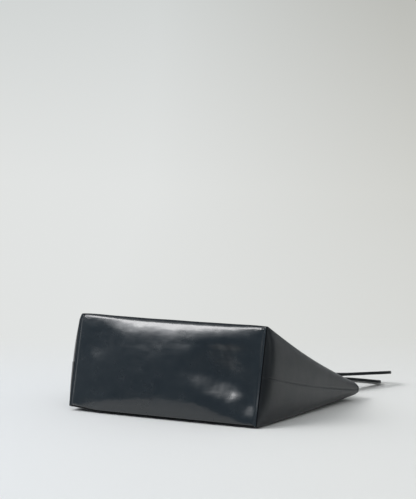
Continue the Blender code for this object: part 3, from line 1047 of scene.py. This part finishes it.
def front_handle_height(start, reach):
    """A function for the front handle's height at (x, y). Its left leg rests on the back handle."""

    def plane(x, y):
        across = FRONT_HANDLE_ROLL * (x - FRONT_HANDLE_BAR_WIDTH / 2)
        return FRONT_BAR_HEIGHT + across + FRONT_HANDLE_DROOP * (start.y + reach - y)

    spread = HANDLE_SPACING / 2
    at_start = plane(spread, start.y) - start.z

    def height(x, y):
        along = (y - start.y) / reach
        right = plane(x, y) - at_start * max(0, 1 - along / FRONT_LEG_SETTLING_SHARE) ** 2
        fall = max(0, 1 - along) ** FRONT_LEG_FALL_POWER
        left = LOWEST_CROSSING_HEIGHT + (start.z - LOWEST_CROSSING_HEIGHT) * fall
        share = smoothstep(x / spread + 0.5)
        mixed = right * share + left * (1 - share)
        lifted = LOWEST_CROSSING_HEIGHT + softened(mixed - LOWEST_CROSSING_HEIGHT, FRONT_HANDLE_SOFTNESS)
        return mixed + (lifted - mixed) * smoothstep(along * 2)

    return height


def back_handle_height(start, reach):
    """A function for the back handle's height at (x, y). Its left leg lies on the floor."""

    def height(x, y):
        rising = start.z + BACK_HANDLE_ARCH * (y - start.y)
        falling = BACK_BAR_HEIGHT + BACK_HANDLE_DROOP * (start.y + reach - y)
        right = falling - softened(falling - rising, BACK_HANDLE_SOFTNESS)
        along = (y - start.y) / reach
        settled = smoothstep(max(0, along) / BACK_LEG_SETTLING_SHARE)
        right = start.z + (right - start.z) * settled
        left = start.z + (LOWEST_STRAP_HEIGHT - start.z) * smoothstep(along)
        share = smoothstep(x / HANDLE_SPACING + 0.5)
        return right * share + left * (1 - share)

    return height


def strap_route(front):
    """(place, sideways) along a strap's middle, from one sewn end to the other."""
    bar_width = FRONT_HANDLE_BAR_WIDTH if front else BACK_HANDLE_BAR_WIDTH
    reach = FRONT_HANDLE_REACH if front else BACK_HANDLE_REACH
    up = Vector((0, *section_frame(1)[1]))
    away = Vector((0, up.z, -up.y))
    leg = HANDLE_SPACING / 2
    start = section_point(1, leg, strap_height(1, leg, front)) + away * GAP
    height = (front_handle_height if front else back_handle_height)(start, reach)
    outside = []
    for middle, sideways in handle_plan(bar_width, start.y, reach):
        place = Vector((middle.x, middle.y, height(middle.x, middle.y)))
        edge = middle + sideways * STRAP_WIDTH / 2
        edge_in = middle - sideways * STRAP_WIDTH / 2
        tilt = (height(edge.x, edge.y) - height(edge_in.x, edge_in.y)) / STRAP_WIDTH
        outside.append((place, Vector((sideways.x, sideways.y, tilt)).normalized()))
    ends = []
    for side in (1, -1):
        x = side * leg
        shares = [k / STRAP_END_STEPS for k in range(STRAP_END_STEPS + 1)]
        rows = [1 - STRAP_END_LENGTH / PANEL_LENGTH * (1 - share) for share in shares]
        out = Vector((side, 0, 0))
        ends.append([(section_point(v, x, strap_height(v, x, front)), out) for v in rows])
    route = ends[0] + outside[1:-1] + list(reversed(ends[1]))
    places = np.array([list(p) for p, _ in route])
    sides = np.array([list(s) for _, s in route])
    for _ in range(STRAP_SMOOTHINGS):
        places[1:-1] = places[1:-1] * 0.5 + (places[:-2] + places[2:]) * 0.25
        sides[1:-1] = sides[1:-1] * 0.5 + (sides[:-2] + sides[2:]) * 0.25
    return places, sides / np.linalg.norm(sides, axis=1)[:, None]


def strap_outline():
    """A strap's cross-section as (sideways, up), with a groove between its two layers."""
    half_w = STRAP_WIDTH / 2
    half_t = STRAP_THICKNESS / 2
    cut = STRAP_EDGE_CUT
    less = cut * STRAP_EDGE_SHARE
    groove = STRAP_GROOVE
    upper = [(half_w - cut, half_t), (half_w - less, half_t - less), (half_w, half_t - cut)]
    lower = [(x, -z) for x, z in reversed(upper)]
    right = upper + [(half_w, groove), (half_w - groove, 0), (half_w, -groove)] + lower
    flat = [(half_w * k, -half_t) for k in STRAP_FLAT_SHARES]
    left = [(-x, z) for x, z in reversed(right)]
    return right + flat + left + [(-x, -z) for x, z in flat]


def strap_directions(places, sides):
    """The direction up from the strap's flat side, at each place."""
    along = np.gradient(places, axis=0)
    ups = np.cross(sides, along / np.linalg.norm(along, axis=1)[:, None])
    ups *= np.sign(ups[:, 2])[:, None]
    return ups / np.linalg.norm(ups, axis=1)[:, None]


def build_handle(front):
    """A handle as one strap with four rows of stitches, which bends where it leaves the mouth."""
    name = "front" if front else "back"
    places, sides = strap_route(front)
    ups = strap_directions(places, sides)
    outline = strap_outline()
    rows = []
    for place, side, up in zip(places, sides, ups):
        rows.append([Vector(place + side * u + up * w) for u, w in outline])
    piece = facing_outwards(loft(name + "_handle_strap", rows, caps=True))
    dress(piece, "strap", "edge")
    painted = [abs(u) > STRAP_WIDTH / 2 - STRAP_PAINT_WIDTH for u, _ in outline]
    for face in piece.data.polygons:
        if all(painted[i % len(outline)] for i in face.vertices):
            face.material_index = 1
    lines = []
    for u in (-1, 1):
        inset = u * (STRAP_WIDTH / 2 - STRAP_STITCH_INSET)
        for w in (-1, 1):
            middles = places + sides * inset + ups * w * STRAP_THICKNESS / 2
            lines.append([(Vector(middle), Vector(up * w)) for middle, up in zip(middles, ups)])
    thread = stitches(name + "_handle_stitches", lines, STRAP_STITCH)
    lip = section_point(1, 0, section_frame(1)[2] if front else 0)
    for made in (piece, thread):
        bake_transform(made)
    hidden = [f"{name}_handle_outer", f"{name}_handle_inner"]
    hidden += [f"{name}_left_strap_end", f"{name}_right_strap_end"]
    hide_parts(*hidden)


# The stage.


def overlaid(material, under, over, share, ray):
    """The shader under, covered by an emission by share, for one kind of ray only."""
    blend = node(material, "ShaderNodeMixShader")
    link(material, product(material, share, ray), blend.inputs["Fac"])
    link(material, under, blend.inputs[1])
    link(material, over.outputs["Emission"], blend.inputs[2])
    return blend.outputs["Shader"]


def floor_line():
    """(y, z) along the floor and up the backdrop, from the front to the top."""
    line = [(-FLOOR_SIZE, 0)] + [(BACKDROP_PLACE - FLOOR_STEP * k, 0) for k in range(FLOOR_STEPS, -1, -1)]
    for k in range(1, BACKDROP_STEPS + 1):
        angle = math.pi / 2 * k / BACKDROP_STEPS
        y = BACKDROP_PLACE + BACKDROP_RADIUS * math.sin(angle)
        line.append((y, BACKDROP_RADIUS - BACKDROP_RADIUS * math.cos(angle)))
    return line + [(BACKDROP_PLACE + BACKDROP_RADIUS, BACKDROP_TOP)]


def backdrop_paper():
    """Pale paper. Far away the camera sees a painted glow, darker towards the right and upwards. Stretches
    are painted dark for mirrored rays only, a painted dark reflection in the leather.
    """
    material = new_material("backdrop_paper", FLOOR_COLOURS[0], 0.9, Specular_IOR_Level=0.1)
    shader = shader_of(material)
    place = position(material)
    rightwards = along_way(material, place, *FLOOR_ACROSS)
    link(material, mixed_colour(material, rightwards, *FLOOR_COLOURS), shader.inputs["Base Color"])
    across = along_way(material, place, *BACKDROP_ACROSS)
    low = mixed_colour(material, across, *BACKDROP_LOW)
    high = mixed_colour(material, across, *BACKDROP_HIGH)
    upwards = along_way(material, place, *BACKDROP_UPWARDS)
    # Painted light: far from the bag the camera sees this glow instead of the lit paper, painted darker
    # towards the right and upwards.
    painted_backdrop_glow = node(material, "ShaderNodeEmission")
    link(material, mixed_colour(material, upwards, low, high), painted_backdrop_glow.inputs["Color"])
    path = node(material, "ShaderNodeLightPath")
    far = along_way(material, place, *BACKDROP_AHEAD)
    blend = overlaid(material, shader.outputs["BSDF"], painted_backdrop_glow, far, path.outputs["Is Camera Ray"])
    # Painted reflection: these stretches look dark only in the leather's reflections.
    dark = node(material, "ShaderNodeEmission")
    dark.inputs["Color"].default_value = MIRRORED_DARK
    for stretch in MIRRORED_STRETCHES:
        share = along_way(material, place, *stretch)
        blend = overlaid(material, blend, dark, share, path.outputs["Is Glossy Ray"])
    link(material, blend, material.node_tree.nodes["Material Output"].inputs["Surface"])
    return material


def build_floor():
    """A floor that curves up into a backdrop far behind the bag."""
    line = floor_line()
    points = []
    for y, z in line:
        points += [(-FLOOR_SIZE, y, z), (FLOOR_SIZE, y, z)]
    faces = [(2 * k, 2 * k + 1, 2 * k + 3, 2 * k + 2) for k in range(len(line) - 1)]
    floor = make("floor", points, faces)
    floor.data.materials.append(backdrop_paper())


def aimed(data, place, ahead):
    """An object at a place, with its -Z turned ahead."""
    made = bpy.data.objects.new(data.name, data)
    made.location = place
    made.rotation_mode = "QUATERNION"
    made.rotation_quaternion = ahead.to_track_quat("-Z", "Y")
    bpy.context.scene.collection.objects.link(made)
    return made


def build_softbox():
    data = bpy.data.lights.new("softbox", "AREA")
    data.shape = "RECTANGLE"
    data.size, data.size_y = SOFTBOX_SIZE
    data.energy = SOFTBOX_POWER
    data.color = SOFTBOX_COLOUR
    aimed(data, SOFTBOX_PLACE, Vector(SOFTBOX_TARGET) - Vector(SOFTBOX_PLACE))


def build_world():
    world = bpy.data.worlds.new("studio")
    bpy.context.scene.world = world
    world.use_nodes = True
    world.node_tree.nodes.clear()
    path = node(world, "ShaderNodeLightPath")
    towards = node(world, "ShaderNodeTexCoord").outputs["Generated"]
    light = ROOM_LIGHT
    for way, rim, middle, colour, mirrored_only in ROOM_AREAS:
        share = along_way(world, towards, way, rim, middle, shape="SMOOTHSTEP")
        if mirrored_only:
            share = product(world, share, path.outputs["Is Glossy Ray"])
        light = mixed_colour(world, share, light, colour)
    room = node(world, "ShaderNodeBackground")
    link(world, light, room.inputs["Color"])
    seen = node(world, "ShaderNodeBackground")
    seen.inputs["Color"].default_value = BACKGROUND
    mix = node(world, "ShaderNodeMixShader")
    link(world, path.outputs["Is Camera Ray"], mix.inputs["Fac"])
    link(world, room.outputs["Background"], mix.inputs[1])
    link(world, seen.outputs["Background"], mix.inputs[2])
    output = node(world, "ShaderNodeOutputWorld")
    link(world, mix.outputs["Shader"], output.inputs["Surface"])


def build_camera():
    data = bpy.data.cameras.new("camera")
    data.sensor_width = SENSOR
    data.lens = FOCAL_PIXELS * SENSOR / LONG_SIDE_PIXELS
    data.clip_end = 100
    level = math.cos(CAMERA_PITCH)
    ahead = Vector((CAMERA_AHEAD[0] * level, CAMERA_AHEAD[1] * level, -math.sin(CAMERA_PITCH)))
    bpy.context.scene.camera = aimed(data, CAMERA_PLACE, ahead)


skin_ring = build_bag()
build_facing(skin_ring)
build_bag_stitches(skin_ring)
build_handle(True)
build_handle(False)
build_board()
for strip in ("left_seam_strip", "right_seam_strip"):
    dress(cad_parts[strip], "tape")
build_floor()
build_world()
build_softbox()
build_camera()
bpy.context.scene.view_settings.view_transform = "Standard"
